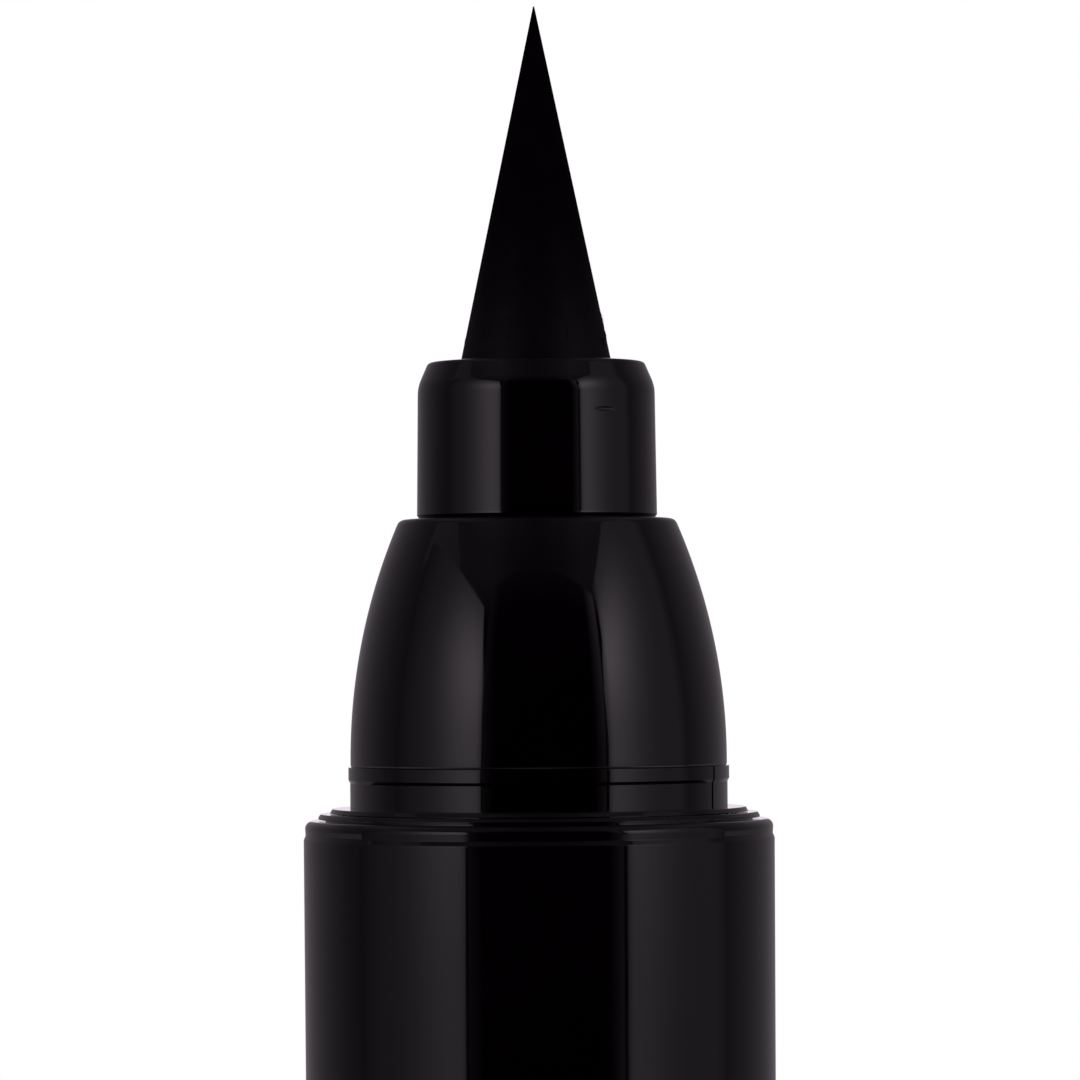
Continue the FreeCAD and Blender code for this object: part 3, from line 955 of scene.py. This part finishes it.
def flag(name, left, right, top_z, left_spill, right_spill, top_spill):
    """An upright black panel that keeps light off the pen's front. Each end catches a softbox's spill,
    given as (width, level), and its top a little from above."""
    panel = upright_panel(name, left, right, top_z, top_z)
    tree, strength = light_up(panel)
    place = tree.nodes.new("ShaderNodeTexCoord")
    split = tree.nodes.new("ShaderNodeSeparateXYZ")
    tree.links.new(place.outputs["Object"], split.inputs["Vector"])
    across = split.outputs["X"]
    at_left = remap(tree, across, left[0], left[0] + left_spill[0], left_spill[1], flag_level)
    at_right = remap(tree, across, right[0] - right_spill[0], right[0], 0.0, right_spill[1])
    rising = remap(tree, split.outputs["Z"], eye_z, eye_z + tube_rise, *flag_rise)
    climbing = scalar_math(tree, "MULTIPLY", at_right, rising)
    sides = scalar_math(tree, "ADD", at_left, climbing)
    at_top = remap(tree, split.outputs["Z"], top_z - flag_top_height, top_z, 0.0, top_spill)
    tree.links.new(scalar_math(tree, "ADD", sides, at_top), strength)
    panel.visible_diffuse = False


def make_floor():
    """A pale floor that turns into the white behind it far out. The gloss mirrors the world's floor."""
    deselect()
    bpy.ops.mesh.primitive_circle_add(vertices=128, radius=floor_radius, fill_type="NGON", location=(0, 0, 0))
    floor = bpy.context.object
    floor.name = "studio_floor"
    material, tree, output = bare_material("pale_floor")
    diffuse = tree.nodes.new("ShaderNodeBsdfDiffuse")
    diffuse.inputs["Color"].default_value = (floor_tone, floor_tone, floor_tone, 1)
    emission = tree.nodes.new("ShaderNodeEmission")
    seen = tree.nodes.new("ShaderNodeMixShader")
    place = tree.nodes.new("ShaderNodeTexCoord")
    reach = tree.nodes.new("ShaderNodeVectorMath")
    reach.operation = "LENGTH"
    tree.links.new(place.outputs["Object"], reach.inputs[0])
    tree.links.new(remap(tree, reach.outputs["Value"], *floor_fade, 0.0, 1.0), seen.inputs["Fac"])
    tree.links.new(diffuse.outputs["BSDF"], seen.inputs[1])
    tree.links.new(emission.outputs["Emission"], seen.inputs[2])
    tree.links.new(seen.outputs["Shader"], output.inputs["Surface"])
    floor.data.materials.append(material)
    floor.visible_glossy = False


def make_overhead():
    """A broad soft light overhead that the gloss doesn't mirror."""
    data = bpy.data.lights.new("overhead", "AREA")
    data.shape = "DISK"
    data.size = overhead_size
    data.energy = overhead_energy
    light = bpy.data.objects.new("overhead", data)
    light.location = (0, 0, overhead_height)
    light.visible_glossy = False
    bpy.context.scene.collection.objects.link(light)


def make_world():
    """White behind the pen. What the gloss mirrors from elsewhere is darker: dim above, grey at the sides,
    and a grey floor that is dark under the pen."""
    world = bpy.data.worlds.new("studio")
    bpy.context.scene.world = world
    world.use_nodes = True
    tree = world.node_tree
    tree.nodes.clear()
    output = tree.nodes.new("ShaderNodeOutputWorld")
    seen = tree.nodes.new("ShaderNodeBackground")
    mirrored = tree.nodes.new("ShaderNodeBackground")
    mix = tree.nodes.new("ShaderNodeMixShader")
    rays = tree.nodes.new("ShaderNodeLightPath")
    tree.links.new(rays.outputs["Is Camera Ray"], mix.inputs["Fac"])
    tree.links.new(mirrored.outputs["Background"], mix.inputs[1])
    tree.links.new(seen.outputs["Background"], mix.inputs[2])
    tree.links.new(mix.outputs["Shader"], output.inputs["Surface"])
    seen.inputs["Color"].default_value = (1, 1, 1, 1)
    direction = tree.nodes.new("ShaderNodeTexCoord")
    split = tree.nodes.new("ShaderNodeSeparateXYZ")
    tree.links.new(direction.outputs["Generated"], split.inputs["Vector"])

    # The walls: black in front of the pen, grey at its sides, white right behind it
    behind = remap(tree, split.outputs["Y"], -1, 1, 0, 1)
    level = ramp(tree, behind, (0.0, tinted(0.006)), (0.14, tinted(0.008)), (0.5, tinted(0.08)),
                 (0.62, tinted(0.09)), (0.75, tinted(0.13)), (0.998, tinted(0.2)), (0.9992, 1.0))

    # The ceiling: dim over the middle, and paler high up
    above = remap(tree, split.outputs["Z"], 0.42, 0.56, 0.0, 1.0)
    sideways = scalar_math(tree, "ABSOLUTE", split.outputs["X"])
    ceiling = ramp(tree, sideways, (0.0, tinted(0.036)), (0.3, tinted(0.056)), (0.5, tinted(0.1)),
                   (0.7, tinted(0.09)), (1.0, tinted(0.1)))
    higher = remap(tree, split.outputs["Z"], 0.58, 0.74, 0.75, 1.5)
    walls = mix_colours(tree, above, level, ceiling)

    # The floor: grey far out, nearly black right under the pen, with paler streaks towards front and back
    depth = remap(tree, split.outputs["Z"], -0.1, -0.6, 0.0, 1.0)
    ground = ramp(tree, depth, (0.0, tinted(0.3)), (0.6, tinted(0.25)), (0.85, tinted(0.01)),
                  (1.0, tinted(0.005)))
    sheen = ramp(tree, sideways, (0.0, 1.5), (0.3, 0.9), (0.5, 0.5), (0.8, 1.0))
    streaked = mix_colours(tree, 1.0, ground, sheen, kind="MULTIPLY")
    below = remap(tree, split.outputs["Z"], -0.075, -0.12, 0.0, 1.0)
    tree.links.new(mix_colours(tree, below, walls, streaked), mirrored.inputs["Color"])
    tree.links.new(scalar_math(tree, "MAXIMUM", higher, 1.0), mirrored.inputs["Strength"])


def make_studio():
    make_camera()
    make_world()
    make_floor()
    make_overhead()
    softbox("left_softbox", (-0.2565, -0.369), (-0.397, 0.049), eye_z + 0.226, eye_z + 0.226,
            edge=((0, 0.03), (0.25, 0.03), (0.34, 0.006), (0.42, 0), (0.66, 0), (0.75, 0.02), (0.86, 0.05),
                  (1, 0.085)),
            lamp_share=0.16, lamp_z=eye_z + 0.12, glow=0.64, strip=0.6, base=0.15, full_share=0.75)
    softbox("right_softbox", (0.3, -0.318), (0.3, 0.07), eye_z + 0.27, eye_z + 0.315,
            edge=((0, -0.01), (0.35, -0.01), (0.55, -0.045), (0.66, -0.03), (0.75, 0.01), (0.9, 0),
                  (1, -0.04)),
            lamp_share=0.11, lamp_z=eye_z + 0.138, glow=0.82, strip=0.52, base=0.19, full_share=0.88)
    card("upper_left_card", (-0.331, -0.161), (-0.409, 0.071), eye_z + 0.238, eye_z + 0.362,
         foot=eye_z + 0.2, level=0.155)
    card("back_strip", (-strip_half_width, strip_distance), (strip_half_width, strip_distance),
         eye_z + strip_height, eye_z + strip_height, foot=panel_foot, level=0.9)
    flag("front_flag", (-0.244, -0.355), (0.31, -0.355), eye_z + 0.27,
         left_spill=(0.06, 0.06), right_spill=(0.07, 0.15), top_spill=0.028)
    bpy.context.scene.view_settings.view_transform = "Standard"


make_studio()
make_barrel()
make_tank()
make_front()
make_nozzle()
make_tip()
make_frayed_edge()
make_tail_plug()
make_cap_shell()
make_cap_spring()
dress_cad_nodes()
